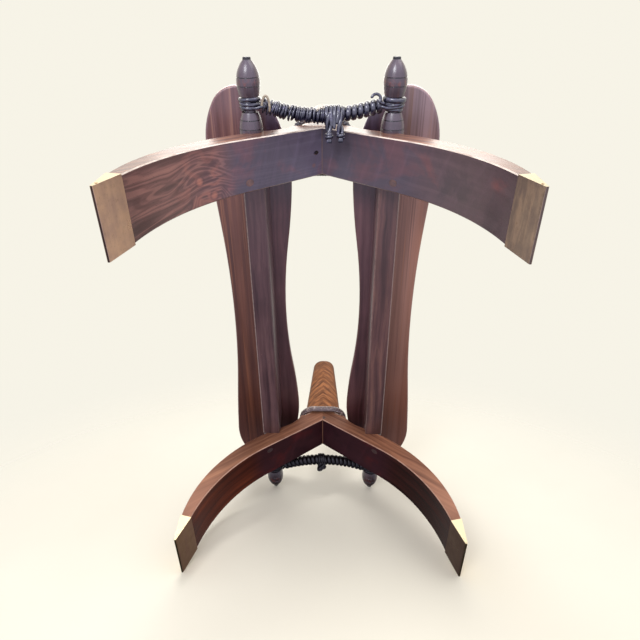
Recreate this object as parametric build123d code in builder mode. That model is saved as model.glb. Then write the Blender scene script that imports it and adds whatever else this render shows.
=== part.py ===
from build123d import *
from math import atan2, cos, pi, radians, sin, sqrt, tan
import os

os.makedirs("parts", exist_ok=True)

# A camel saddle stool without its cushion: two arched bows, each of two curved legs that also carry
# half of an upright horn, tied together by two turned rails and two shaped side boards, and laced
# with leather thong. It stands on four brass shod feet, with its long side along Y.

# Whole stool
rail_length = 680.0          # tip to tip of the turned rails
rail_spacing = 163.0         # between the axes of the two rails
bow_inset = 107.0            # from a rail's tip back to the middle plane of its bow
foot_spread = 376.5          # over the brass shoes of one bow
apex_height = 234.0          # floor to the point of the arch
horn_top_height = 410.0      # floor to the top of the horn
fit_gap = 0.15               # room between fitted wooden or brass pieces
cord_gap = 0.3               # room between leather and what it goes round
overrun = 5.0                # how far cutting tools run past a piece

# Bow seen from the front
soffit_slope = 36.9          # degrees below the horizontal
soffit_run = 110.0           # straight part of the soffit, from the point of the arch
ankle_height = 36.0          # where the brass starts, on the soffit
ankle_inset = 12.0           # from the toe's inner corner back to the ankle
ankle_thickness = 14.0
bend_thickness = 24.0
shoulder_thickness = 26.2
neck_thickness = 23.5        # where the leg starts to sweep up into the horn
flare_distance = 55.0        # from the point of the arch to that place
toe_thickness = 1.2          # wood inside the brass shoe, at the sole
horn_foot_rise = 10.0        # top of the flare, above the point of the arch
horn_foot_width = 72.0
edge_chamfer = 1.1

# Bow seen from the side
bow_depth_top = 56.0
foot_depth = 70.0            # over the brass shoe

# Horn
horn_waist_rise = 21.0       # the narrow place that the braided ring goes round
horn_waist_width = 60.0
horn_waist_depth = 55.2
horn_waist_corner = 15.0
horn_tip_width = 37.5
horn_tip_depth = 45.5
horn_tip_corner = 17.0
horn_foot_corner = 3.0
horn_tip_round = 12.0

# Brass shoes
cap_wall = 0.6
pin_radius = 0.8
pin_length = 6.0
pin_head_radius = 1.2
pin_head_height = 0.4
pin_height = 8.5
fold_share = 0.35            # radius of the fold along the sole, of the sole's thickness

# Turned rail
rail_radius = 14.0           # where it lies over a bow
notch_depth = 6.8            # how deep it is let into the shoulder
batten_width = 26.0
batten_rise = 35.5           # from the rail's axis up to the board
batten_chamfer = 1.5
neck_radius = 7.0
neck_length = 17.0
bulb_length = 37.5
bulb_radius = 13.3
bulb_foot_radius = 11.3
bulb_head_length = 22.5      # from the bulb's widest place up to the nub
lower_bulb_length = 21.5
lower_bulb_end_radius = 9.3
nub_radius = 4.5
nub_length = 2.5
nub_round = 1.2
groove_radius = 0.5

# Side boards
board_thickness = 12.0
board_tilt = 5.0             # degrees, outer edge lower
board_inset = 34.5           # from a rail's tip back to the board's end
board_swell_outer = 62.0     # rail axis to the outer edge, where the board is widest
board_swell_inner = 42.0
board_tip_offset = 18.0
board_edge_round = 2.5
screw_radius = 2.0
screw_head_radius = 4.2
screw_length = 36.0
screw_inset = 53.8           # from the batten's end to the screw next to it
screw_sink = 0.4

# Hidden dowels, the pegs through the shoulders and the nail through the front mitre
dowel_radius = 4.0
dowel_length = 40.0
dowel_rise_shares = (0.31, 0.667)    # of the horn's height above the point of the arch
peg_radius = 4.0
peg_offset = 19.0            # from the bow's middle plane, towards the middle of the stool
peg_reach = 6.0              # past the rail's axis
nail_radius = 1.4
nail_head_radius = 2.2
nail_head_height = 1.2
nail_share = 0.77            # its length, of the lower dowel's height above the point of the arch
nail_offset = 8.0            # from the point of the arch, down the soffit
nail_lean = 22.0             # degrees from the vertical, towards the other leg

# Leather
core_radius = 3.4            # rope between the two necks of a bow's finials
front_sag = 12.5
rear_sag = 14.0
wrap_radius = 2.5
wrap_turns = 18
wrap_steps = 4               # of the curve's points in each turn
lash_radius = 2.2
lash_turns = 2.25
lash_pitch = 4.9
ring_radius = 5.3            # braided ring round the foot of the horn
ring_rise = 21.5             # above the point of the arch
knot_radius = 2.1
knot_pitch = 5.2
knot_turns = 2.5
bead_radius = 4.0
front_knot_x = 12.0
front_tails = (26.0, 31.0)
rear_knot_x = -2.0
rear_tails = (13.0, 9.0)
hang = (0.945, -0.327)       # the way that both knots' tails lie, along Y and along Z

# Places that follow from the sizes above
rail_x = rail_spacing / 2
bow_y = rail_length / 2 - bow_inset
board_half_length = rail_length / 2 - board_inset
cap_skin = cap_wall + fit_gap
slope = radians(soffit_slope)
tilt = radians(board_tilt)
apex = Vector(0, apex_height)
down_soffit = Vector(cos(slope), -sin(slope))
off_soffit = Vector(sin(slope), cos(slope))
rail_lift = shoulder_thickness + rail_radius - notch_depth
rail_z = apex_height - rail_x * tan(slope) + rail_lift / cos(slope)
rail_station = Vector(rail_x, rail_z - apex_height).dot(down_soffit)
horn_foot_z = apex_height + horn_foot_rise
toe_outer_x = foot_spread / 2 - cap_skin
toe_inner_x = toe_outer_x - toe_thickness
pin_share = (pin_height - cap_skin) / (ankle_height - cap_skin)
pin_x = (toe_inner_x - ankle_inset * pin_share + toe_outer_x) / 2
bend_start = apex + down_soffit * soffit_run
ankle = Vector(toe_inner_x - ankle_inset, ankle_height)
shoulder = apex + down_soffit * rail_station + off_soffit * shoulder_thickness
flare_start = apex + down_soffit * flare_distance + off_soffit * neck_thickness
wood_foot_depth = foot_depth - 2 * cap_skin
neck_end_y = rail_length / 2 - nub_length - bulb_length
neck_start_y = neck_end_y - neck_length
neck_y = (neck_start_y + neck_end_y) / 2
bulb_widest_y = neck_end_y + bulb_length - bulb_head_length
batten_bottom_z = rail_z - rail_radius
board_z = rail_z + batten_rise + fit_gap
ends = (("front", -1), ("rear", 1))
sides = (("left", -1), ("right", 1))


def outward_of(tangent):
    """The direction square to a line that runs down a leg, pointing away from the arch."""
    return Vector(-tangent.Y, tangent.X)


def half_depth(z):
    """Half of a bow's depth along Y at a height."""
    share = (z - cap_skin) / (horn_foot_z - cap_skin)
    return (wood_foot_depth + (bow_depth_top - wood_foot_depth) * share) / 2


def write(builder, name):
    builder.part.label = name
    export_step(builder.part, f"parts/{name}.step")


with BuildLine() as soffit_bend:
    bend = TangentArc(bend_start, ankle, tangent=down_soffit)
ankle_direction = bend % 1
ankle_out = ankle + outward_of(ankle_direction) * ankle_thickness
bend_out = bend @ 0.5 + outward_of(bend % 0.5) * bend_thickness
batten_half = bow_y - half_depth(batten_bottom_z) - fit_gap
screw_pitch = batten_half - screw_inset
dowel_rises = [(horn_top_height - apex_height) * share for share in dowel_rise_shares]
nail_length = dowel_rises[0] * nail_share


def taper_depth():
    """Cuts what stands in the open part to a bow's depth, which grows towards the feet."""
    with BuildSketch(Plane.YZ) as section:
        with BuildLine():
            Polyline(
                (wood_foot_depth / 2, cap_skin),
                (bow_depth_top / 2, horn_foot_z),
                (-bow_depth_top / 2, horn_foot_z),
                (-wood_foot_depth / 2, cap_skin),
                close=True,
            )
        make_face()
    extrude(section.sketch, amount=foot_spread, both=True, mode=Mode.INTERSECT)


# The toes of a bow at the origin, which go into the brass
with BuildPart() as toes:
    with BuildSketch(Plane.XZ):
        with BuildLine():
            Polyline(ankle, (toe_inner_x, cap_skin), (toe_outer_x, cap_skin), ankle_out, close=True)
        make_face()
        mirror(about=Plane.YZ)
    extrude(amount=foot_depth, both=True)
    taper_depth()

# A whole bow at the origin: both legs up to the horn's foot, before it is cut at the mitre
with BuildPart() as bow:
    with BuildSketch(Plane.XZ):
        with BuildLine():
            Line(apex, bend_start)
            TangentArc(bend_start, ankle, tangent=down_soffit)
            Line(ankle, ankle_out)
            back = TangentArc(shoulder, bend_out, tangent=shoulder - flare_start)
            TangentArc(bend_out, ankle_out, tangent=back % 1)
            saddle = Line(shoulder, flare_start)
            TangentArc(flare_start, (horn_foot_width / 2, horn_foot_z), tangent=saddle % 1)
            Line((horn_foot_width / 2, horn_foot_z), (0, horn_foot_z))
            Line((0, horn_foot_z), apex)
        make_face()
        mirror(about=Plane.YZ)
    extrude(amount=foot_depth, both=True)
    taper_depth()
    flanks = bow.faces().sort_by(Axis.Y)
    arrises = (flanks[0].edges() + flanks[-1].edges()).filter_by(
        lambda edge: ankle_out.Y < edge.center().Z < horn_foot_z - edge_chamfer)
    chamfer(arrises, length=edge_chamfer)
    add(toes.part)

# The horn over it, whose foot flares out to the bow's full width
waist_z = apex_height + horn_waist_rise
tip_corner = min(horn_tip_corner, horn_tip_width / 2 - edge_chamfer)
flare_shares = ((0.0, 0.0), (0.35, 0.62), (0.68, 0.9), (1.0, 1.0))    # rise, narrowing
with BuildPart() as horn:
    with BuildSketch(Plane.XY.offset(waist_z)):
        RectangleRounded(horn_waist_width, horn_waist_depth, horn_waist_corner)
    with BuildSketch(Plane.XY.offset(horn_top_height)):
        RectangleRounded(horn_tip_width, horn_tip_depth, tip_corner)
    loft()
    fillet(horn.faces().sort_by(Axis.Z)[-1].edges(), radius=horn_tip_round)
    for rise_share, narrow_share in flare_shares:
        with BuildSketch(Plane.XY.offset(horn_foot_z + (waist_z - horn_foot_z) * rise_share)):
            RectangleRounded(
                horn_foot_width + (horn_waist_width - horn_foot_width) * narrow_share,
                bow_depth_top + (horn_waist_depth - bow_depth_top) * narrow_share,
                horn_foot_corner + (horn_waist_corner - horn_foot_corner) * narrow_share,
            )
    loft()


def mitre_dowel(y, rise, clearance=0):
    with Locations(Plane((0, y, apex_height + rise), z_dir=(1, 0, 0))):
        Cylinder(dowel_radius + clearance, dowel_length + 2 * clearance,
                 mode=Mode.SUBTRACT if clearance else Mode.ADD)


def rail_peg(x_sign, y_sign, clearance=0):
    """An upright peg from below the soffit into the rail, still to be cut flush."""
    foot_z = apex_height - rail_x * tan(slope) - overrun
    length = rail_z + peg_reach - foot_z + clearance
    with Locations((x_sign * rail_x, y_sign * (bow_y - peg_offset), foot_z + length / 2)):
        Cylinder(peg_radius + clearance, length, mode=Mode.SUBTRACT if clearance else Mode.ADD)


def mitre_nail(clearance=0):
    """The head lies in one leg's soffit and the shank leans over into the other leg."""
    head = apex + down_soffit * nail_offset + off_soffit * fit_gap
    lean = radians(nail_lean)
    upright = (Align.CENTER, Align.CENTER, Align.MIN)
    mode = Mode.SUBTRACT if clearance else Mode.ADD
    with Locations(Plane((-head.X, -bow_y, head.Y), z_dir=(sin(lean), 0, cos(lean)))):
        Cylinder(nail_radius + clearance, nail_length + clearance, align=upright, mode=mode)
        Cylinder(nail_head_radius + clearance, nail_head_height + clearance, align=upright, mode=mode)
        if clearance:
            Cylinder(nail_head_radius + clearance, nail_head_radius + overrun,
                     align=(Align.CENTER, Align.CENTER, Align.MAX), mode=mode)


def cap_pin(x_sign, y_sign, y_side, clearance=0):
    """A small nail through the brass into the toe, on one flank of a foot."""
    outside = y_sign * bow_y + y_side * (half_depth(pin_height) + cap_skin)
    mode = Mode.SUBTRACT if clearance else Mode.ADD
    with Locations(Plane((x_sign * pin_x, outside, pin_height), z_dir=(0, -y_side, 0))):
        Cylinder(pin_radius + clearance, pin_length + clearance,
                 align=(Align.CENTER, Align.CENTER, Align.MIN), mode=mode)
        if clearance:
            Cylinder(pin_radius + clearance, pin_radius,
                     align=(Align.CENTER, Align.CENTER, Align.MAX), mode=mode)
        else:
            with Locations((0, 0, -fit_gap)):
                Cylinder(pin_head_radius, pin_head_height,
                         align=(Align.CENTER, Align.CENTER, Align.MAX), mode=mode)
                Cylinder(pin_radius, fit_gap,
                         align=(Align.CENTER, Align.CENTER, Align.MIN), mode=mode)


# Four legs, each a single plank that ends in half of the horn
for end, y_sign in ends:
    for side, x_sign in sides:
        with BuildPart() as leg:
            with Locations((0, y_sign * bow_y, 0)):
                add(bow.part)
                add(horn.part)
            split(bisect_by=Plane.YZ, keep=Keep.TOP if x_sign > 0 else Keep.BOTTOM)
            with Locations(Plane((x_sign * rail_x, y_sign * bow_y, rail_z), z_dir=(0, 1, 0))):
                Cylinder(rail_radius + fit_gap, foot_depth + overrun, mode=Mode.SUBTRACT)
            for rise in dowel_rises:
                mitre_dowel(y_sign * bow_y, rise, clearance=fit_gap)
            rail_peg(x_sign, y_sign, clearance=fit_gap)
            if y_sign < 0:
                mitre_nail(clearance=fit_gap)
            for y_side in (-1, 1):
                cap_pin(x_sign, y_sign, y_side, clearance=fit_gap)
        write(leg, f"{end}_{side}_leg")


def shoe(y_sign, x_sign, skin):
    """The foot of a leg up to the ankle, grown by a skin, as a solid at the origin's bow."""
    plane = Plane((0, y_sign * bow_y, 0), x_dir=(x_sign, 0, 0), z_dir=(0, -x_sign, 0))
    top_inner = ankle + (ankle - Vector(toe_inner_x, cap_skin)).normalized() * overrun
    top_outer = ankle_out + (ankle_out - Vector(toe_outer_x, cap_skin)).normalized() * overrun
    with BuildPart(mode=Mode.PRIVATE) as solid:
        with BuildSketch(plane):
            with BuildLine():
                Polyline(top_inner, (toe_inner_x, cap_skin), (toe_outer_x, cap_skin), top_outer,
                         close=True)
            make_face()
            offset(amount=skin, kind=Kind.INTERSECTION)
        extrude(amount=foot_depth, both=True)
        with BuildSketch(Plane((0, y_sign * bow_y, 0), x_dir=(0, 1, 0), z_dir=(1, 0, 0))):
            with BuildLine():
                top_z = ankle_out.Y + 2 * overrun
                Polyline((half_depth(top_z), top_z), (wood_foot_depth / 2, cap_skin),
                         (-wood_foot_depth / 2, cap_skin), (-half_depth(top_z), top_z), close=True)
            make_face()
            offset(amount=skin, kind=Kind.INTERSECTION)
        extrude(amount=foot_spread, both=True, mode=Mode.INTERSECT)
        split(bisect_by=Plane((x_sign * ankle.X, 0, ankle.Y),
                              z_dir=(x_sign * ankle_direction.X, 0, ankle_direction.Y)),
              keep=Keep.TOP)
    return solid.part


# Four brass shoes, folded round the toes and nailed through both flanks
for end, y_sign in ends:
    for side, x_sign in sides:
        with BuildPart() as cap:
            add(shoe(y_sign, x_sign, cap_skin))
            sole = cap.faces().sort_by(Axis.Z)[0]
            fillet(sole.edges().filter_by(Axis.Y),
                   radius=fold_share * (toe_thickness + 2 * cap_skin))
            add(shoe(y_sign, x_sign, fit_gap), mode=Mode.SUBTRACT)
            for y_side in (-1, 1):
                cap_pin(x_sign, y_sign, y_side, clearance=fit_gap)
        write(cap, f"{end}_{side}_toe_cap")

with BuildPart() as cap_pins:
    for end, y_sign in ends:
        for side, x_sign in sides:
            for y_side in (-1, 1):
                cap_pin(x_sign, y_sign, y_side)
write(cap_pins, "toe_cap_pins")

for end, y_sign in ends:
    with BuildPart() as dowels:
        for rise in dowel_rises:
            mitre_dowel(y_sign * bow_y, rise)
    write(dowels, f"{end}_mitre_dowels")

with BuildPart() as nail:
    mitre_nail()
    split(bisect_by=Plane(
        (0, -bow_y, apex_height), z_dir=(-off_soffit.X, 0, off_soffit.Y)), keep=Keep.TOP)
write(nail, "front_mitre_nail")

with BuildPart() as pegs:
    for end, y_sign in ends:
        for side, x_sign in sides:
            with BuildPart(mode=Mode.PRIVATE) as peg:
                rail_peg(x_sign, y_sign)
                split(bisect_by=Plane((0, y_sign * bow_y, apex_height),
                                      z_dir=(x_sign * off_soffit.X, 0, off_soffit.Y)),
                      keep=Keep.TOP)
            add(peg.part)
write(pegs, "rail_pegs")


def board_plane(x_sign):
    """The underside of a board: local X points outward along it, local Z up through it."""
    return Plane((x_sign * rail_x, 0, board_z), x_dir=(x_sign * cos(tilt), 0, -sin(tilt)),
                 z_dir=(x_sign * sin(tilt), 0, cos(tilt)))


def board_screws(x_sign, clearance=0):
    """Countersunk screws down through a board into the batten under it."""
    mode = Mode.SUBTRACT if clearance else Mode.ADD
    down = Align.MAX
    for step in (-1, 0, 1):
        spot = (0, step * screw_pitch, board_thickness - screw_sink)
        with Locations(board_plane(x_sign).location * Location(spot)):
            Cylinder(screw_radius + clearance, screw_length + clearance,
                     align=(Align.CENTER, Align.CENTER, down), mode=mode)
            Cone(screw_radius + clearance, screw_head_radius + clearance,
                 screw_head_radius - screw_radius,
                 align=(Align.CENTER, Align.CENTER, down), mode=mode)
            if clearance:
                Cylinder(screw_head_radius + clearance, screw_sink + overrun,
                         align=(Align.CENTER, Align.CENTER, Align.MIN), mode=mode)


# Two rails: turned where they cross the bows and beyond, square sided battens between the bows
for side, x_sign in sides:
    with BuildPart() as rail:
        profile_plane = Plane((x_sign * rail_x, 0, rail_z), x_dir=(x_sign, 0, 0),
                              z_dir=(0, 0, x_sign))
        axis = Axis((x_sign * rail_x, 0, rail_z), (0, 1, 0))
        lower_start_y = neck_start_y - lower_bulb_length
        with BuildSketch(profile_plane):
            with BuildLine():
                Line((0, batten_half), (rail_radius, batten_half))
                Line((rail_radius, batten_half), (rail_radius, lower_start_y))
                lower = TangentArc((rail_radius, lower_start_y),
                                   (lower_bulb_end_radius, neck_start_y), tangent=(0, 1))
                Line((lower_bulb_end_radius, neck_start_y), (neck_radius, neck_start_y))
                Line((neck_radius, neck_start_y), (neck_radius, neck_end_y))
                Line((neck_radius, neck_end_y), (bulb_foot_radius, neck_end_y))
                swell = TangentArc((bulb_radius, bulb_widest_y), (bulb_foot_radius, neck_end_y),
                                   tangent=(0, -1))
                crown = TangentArc((bulb_radius, bulb_widest_y),
                                   (nub_radius, rail_length / 2 - nub_length), tangent=(0, 1))
                Line((nub_radius, rail_length / 2 - nub_length),
                     (nub_radius, rail_length / 2 - nub_round))
                TangentArc((nub_radius, rail_length / 2 - nub_round),
                           (nub_radius - nub_round, rail_length / 2), tangent=(0, 1))
                Line((nub_radius - nub_round, rail_length / 2), (0, rail_length / 2))
                Line((0, rail_length / 2), (0, batten_half))
            make_face()
        revolve(axis=axis)
        with BuildSketch(profile_plane):
            groove_shares = ((lower, 0.17), (lower, 0.62), (swell, 0.27), (crown, 0.2))
            for curve, share in groove_shares:
                with Locations(curve @ share):
                    Circle(groove_radius)
        revolve(axis=axis, mode=Mode.SUBTRACT)
        mirror(about=Plane.XZ)
        with BuildSketch(Plane.XZ):
            with BuildLine():
                inner, outer = rail_x - batten_width / 2, rail_x + batten_width / 2
                drop = batten_width / 2 * tan(tilt)
                Polyline(
                    (x_sign * inner, batten_bottom_z),
                    (x_sign * outer, batten_bottom_z),
                    (x_sign * outer, rail_z + batten_rise - drop),
                    (x_sign * inner, rail_z + batten_rise + drop),
                    close=True,
                )
            make_face()
            chamfer(vertices().group_by(Axis.Y)[0], length=batten_chamfer)
        extrude(amount=batten_half, both=True)
        for y_sign in (-1, 1):
            rail_peg(x_sign, y_sign, clearance=fit_gap)
        board_screws(x_sign, clearance=fit_gap)
    write(rail, f"{side}_rail")

# Two boards, shaped like long saddle flaps, widest where they pass the horns
outer_shares = ((0.45, 0.89), (0.77, 1.0), (0.943, 0.8))              # length, width
inner_shares = ((0.345, 0.835), (0.58, 1.0), (0.86, 0.69), (0.946, 0.24))
waist_outer_share = 0.79
waist_inner_share = 0.66


def tangent_arcs(*points):
    """A smooth chain of arcs that leaves its first point along the board."""
    heading = Vector(0, 1)
    for start, end_point in zip(points, points[1:]):
        heading = TangentArc(start, end_point, tangent=heading) % 1


for side, x_sign in sides:
    with BuildPart() as board:
        with BuildSketch(board_plane(x_sign)):
            with BuildLine():
                peak = (board_tip_offset, board_half_length)
                tangent_arcs(
                    (board_swell_outer * waist_outer_share, 0),
                    *((board_swell_outer * width_share, board_half_length * length_share)
                      for length_share, width_share in outer_shares),
                    peak,
                )
                tangent_arcs(
                    (-board_swell_inner * waist_inner_share, 0),
                    *((-board_swell_inner * width_share, board_half_length * length_share)
                      for length_share, width_share in inner_shares),
                    peak,
                )
                mirror(about=Plane.XZ)
            make_face()
        extrude(amount=board_thickness)
        broad_faces = board.faces().sort_by(SortBy.AREA)[-2:]
        fillet(broad_faces[0].edges() + broad_faces[1].edges(), radius=board_edge_round)
        board_screws(x_sign, clearance=fit_gap)
    write(board, f"{side}_board")

with BuildPart() as screws:
    for side, x_sign in sides:
        board_screws(x_sign)
write(screws, "board_screws")


# Leather. Each winding is one tube, swept on pairs of arcs between points of its formula.
def arc_pair(start, start_heading, end_point, end_heading):
    """Two tangent arcs from a point and heading to another point and heading."""
    chord = end_point - start
    both = start_heading + end_heading
    along = chord.dot(both)
    spread = 2 * (1 - start_heading.dot(end_heading))
    reach = (sqrt(along ** 2 + spread * chord.dot(chord)) - along) / spread
    first_corner = start + start_heading * reach
    second_corner = end_point - end_heading * reach
    middle = (first_corner + second_corner) / 2
    first = TangentArc(start, middle, tangent=start_heading)
    TangentArc(middle, end_point, tangent=second_corner - first_corner)
    return first


def helix_on(centre, turns, start_angle, radius, steps):
    """Points and headings of a winding round a curve, whose centre gives a place and two directions."""
    count = round(turns * steps)
    nudge = 1 / (count * steps * steps)

    def place(t):
        middle, across, up = centre(t)
        angle = start_angle + 2 * pi * turns * t
        return middle + across * (radius * cos(angle)) + up * (radius * sin(angle))

    places, headings = [], []
    for i in range(count + 1):
        t = i / count
        places.append(place(t))
        headings.append((place(t + nudge) - place(t - nudge)).normalized())
    return places, headings


def wind(places, headings, wire_radius, lead_in, lead_out, name):
    """One unbroken tube along a winding, with straight ends, and its least gap to itself."""
    with BuildLine() as path:
        Line(places[0] - headings[0] * lead_in, places[0])
        for i in range(len(places) - 1):
            arc_pair(places[i], headings[i], places[i + 1], headings[i + 1])
        Line(places[-1], places[-1] + headings[-1] * lead_out)
    with BuildSketch(Plane(places[0] - headings[0] * lead_in, z_dir=headings[0])) as section:
        Circle(wire_radius)
    sweep(sections=section.sketch, path=path.wires()[0])
    samples = 8 * len(places)
    wire = path.wires()[0]
    dots = [wire @ (i / samples) for i in range(samples + 1)]
    step = wire.length / samples
    far = 4 * wire_radius / step
    least = min((dots[i] - dots[j]).length for i in range(len(dots))
                for j in range(i + 1, len(dots)) if j - i > far)
    print(f"{name}: tube {wire.length:.0f} mm long, least gap to itself {least - 2 * wire_radius:.2f}")


lash_orbit = neck_radius + cord_gap + lash_radius
cord_reach = rail_x - lash_orbit - lash_radius - cord_gap
wrap_orbit = core_radius + cord_gap + wrap_radius
knot_orbit = wrap_orbit + wrap_radius + cord_gap + knot_radius


def cord_centre(y_sign, sag, x_from, x_to):
    """Place and two square directions along a cross cord, for t from 0 to 1."""
    radius = (cord_reach ** 2 + sag ** 2) / (2 * sag)

    def centre(t):
        x = x_from + (x_to - x_from) * t
        drop = sqrt(radius ** 2 - x ** 2)
        middle = Vector(x, y_sign * (neck_y - sag + radius - drop), rail_z)
        across = Vector(-x / radius, y_sign * drop / radius, 0)
        return middle, across, Vector(0, 0, 1)

    return centre


for end, y_sign in ends:
    sag = front_sag if y_sign < 0 else rear_sag
    knot_x = front_knot_x if y_sign < 0 else rear_knot_x
    tails = front_tails if y_sign < 0 else rear_tails

    # The rope from neck to neck, and the thong wound tightly round it
    with BuildPart() as core:
        past_reach = cord_reach + core_radius
        centre = cord_centre(y_sign, sag, -past_reach, past_reach)
        with BuildLine() as rope:
            route = ThreePointArc(centre(0)[0], (0, y_sign * (neck_y - sag), rail_z), centre(1)[0])
        with BuildSketch(Plane(route @ 0, z_dir=route % 0)):
            Circle(core_radius)
        sweep(path=rope.wires()[0])
        split(bisect_by=Plane.YZ.offset(cord_reach), keep=Keep.BOTTOM)
        split(bisect_by=Plane.YZ.offset(-cord_reach), keep=Keep.TOP)
    write(core, f"{end}_cord_core")

    wrap_reach = cord_reach - 2 * wrap_radius
    with BuildPart() as wrap:
        places, headings = helix_on(
            cord_centre(y_sign, sag, -wrap_reach, wrap_reach), wrap_turns, 0, wrap_orbit, wrap_steps)
        wind(places, headings, wrap_radius, 2 * wrap_radius, 2 * wrap_radius, f"{end}_cord_wrap")
    write(wrap, f"{end}_cord_wrap")

    # The knot's thong goes round the wrapped cord, and both its tails hang from it with a bead each
    with BuildPart() as knot:
        half = knot_turns * knot_pitch / 2
        centre = cord_centre(y_sign, sag, knot_x + half, knot_x - half)
        places, headings = helix_on(centre, knot_turns, atan2(y_sign * hang[0], -hang[1]),
                                    knot_orbit, wrap_steps)
        wind(places, headings, knot_radius, tails[0], tails[1], f"{end}_cord_knot")
        with Locations(Plane(places[0] - headings[0] * tails[0], z_dir=headings[0]),
                       Plane(places[-1] + headings[-1] * tails[1], z_dir=headings[-1])):
            Sphere(bead_radius)
    write(knot, f"{end}_cord_knot")

    # Thong lashed round the neck of each finial
    for side, x_sign in sides:
        with BuildPart() as lashing:
            half = lash_turns * lash_pitch / 2

            def neck_centre(t):
                middle = Vector(x_sign * rail_x, y_sign * (neck_y - half + 2 * half * t), rail_z)
                return middle, Vector(x_sign, 0, 0), Vector(0, 0, 1)

            places, headings = helix_on(neck_centre, lash_turns, 0, lash_orbit, wrap_steps)
            wind(places, headings, lash_radius, 2 * lash_radius, 2 * lash_radius,
                 f"{end}_{side}_neck_lashing")
        write(lashing, f"{end}_{side}_neck_lashing")

    # The braided ring sits on the flare and goes round the horn's waist
    with BuildPart() as ring:
        grow = 2 * (cord_gap + ring_radius)
        width, depth = horn_waist_width + grow, horn_waist_depth + grow
        corner = horn_waist_corner + grow / 2
        ring_z = apex_height + ring_rise
        front_y, rear_y = y_sign * bow_y - depth / 2, y_sign * bow_y + depth / 2
        with BuildLine() as loop:
            Line((0, front_y, ring_z), (width / 2 - corner, front_y, ring_z))
            TangentArc((width / 2 - corner, front_y, ring_z),
                       (width / 2, front_y + corner, ring_z), tangent=(1, 0, 0))
            Line((width / 2, front_y + corner, ring_z), (width / 2, rear_y - corner, ring_z))
            TangentArc((width / 2, rear_y - corner, ring_z),
                       (width / 2 - corner, rear_y, ring_z), tangent=(0, 1, 0))
            Line((width / 2 - corner, rear_y, ring_z), (0, rear_y, ring_z))
        with BuildSketch(Plane((0, front_y, ring_z), z_dir=(1, 0, 0))):
            Circle(ring_radius)
        sweep(path=loop.wires()[0])
        mirror(about=Plane.YZ)
    write(ring, f"{end}_horn_ring")
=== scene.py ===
from dataclasses import dataclass
from math import cos, pi, radians, sin, sqrt

import bpy
from mathutils import Matrix, Vector, noise


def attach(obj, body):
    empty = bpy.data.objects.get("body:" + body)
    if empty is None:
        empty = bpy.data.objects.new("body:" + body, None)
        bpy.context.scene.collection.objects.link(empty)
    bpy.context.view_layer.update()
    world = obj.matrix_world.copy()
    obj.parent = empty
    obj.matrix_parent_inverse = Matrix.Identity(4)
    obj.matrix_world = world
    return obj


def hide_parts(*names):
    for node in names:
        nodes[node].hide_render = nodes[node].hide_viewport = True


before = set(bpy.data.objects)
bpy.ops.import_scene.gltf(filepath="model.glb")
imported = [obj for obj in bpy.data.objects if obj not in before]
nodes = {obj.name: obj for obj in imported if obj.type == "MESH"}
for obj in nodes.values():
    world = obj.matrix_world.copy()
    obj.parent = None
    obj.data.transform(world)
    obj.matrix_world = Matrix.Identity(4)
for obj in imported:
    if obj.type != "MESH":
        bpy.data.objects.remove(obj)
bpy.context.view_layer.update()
scene = bpy.context.scene

# Sizes repeated from the CAD source, in metres
MM = 0.001
RAIL_X = 0.0815
RAIL_Z = 0.21457
BOW_Y = 0.233
NECK_Y = 0.2915
APEX_Z = 0.234
RING_RISE = 0.0215
RING_RADIUS = 0.0053
WAIST_WIDTH, WAIST_DEPTH, WAIST_CORNER = 0.06, 0.0552, 0.015
CORE_RADIUS = 0.0034
CORD_GAP = 0.0003
CORD_REACH = 0.0695
SAG = {"front": 0.0125, "rear": 0.014}
SOFFIT_SLOPE = radians(36.9)
GROOVE_YS = (0.26527, 0.27509, 0.3109, 0.31993)

# Directions: the photograph shows the stool stood on its rear end, from the side of its soles
X_SIGN = {"left": -1, "right": 1}
Y_SIGN = {"front": -1, "rear": 1}
RIGHT, DOWN = Vector((1, 0, 0)), Vector((0, 0, -1))
UP_IN_PHOTO = Vector((0, -0.945, 0.327))
TO_CAMERA = Vector((0, -0.327, -0.945))


def add(name, data):
    piece = bpy.data.objects.new(name, data)
    scene.collection.objects.link(piece)
    return piece


def add_leather(name, data, *replaced, slot="thong_leather"):
    piece = add(name, data)
    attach(piece, "root")
    if replaced:
        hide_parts(*replaced)
    return piece


# Camera, found from the photograph: turns in degrees, place in metres, lens and sensor in millimetres
ROLL, PITCH, YAW = 0.28, -32.43, 1.2
CAMERA_PLACE = Vector((0.01042, -0.41249, -0.4308))
LENS, SENSOR = 30.375, 36


def place_camera():
    turn = (Matrix.Rotation(radians(ROLL), 3, "Z") @ Matrix.Rotation(radians(PITCH), 3, "X")
            @ Matrix.Rotation(radians(YAW), 3, "Y"))
    right, up, forward = (Vector((row[0], -row[1], row[2])) for row in turn)
    data = bpy.data.cameras.new("camera")
    data.sensor_width = SENSOR
    data.lens = LENS
    camera = add("camera", data)
    matrix = Matrix.Identity(4)
    for column, axis in enumerate((right, up, -forward)):
        matrix.col[column] = (*axis, 0)
    matrix.translation = CAMERA_PLACE
    camera.matrix_world = matrix
    scene.camera = camera


place_camera()


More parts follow.
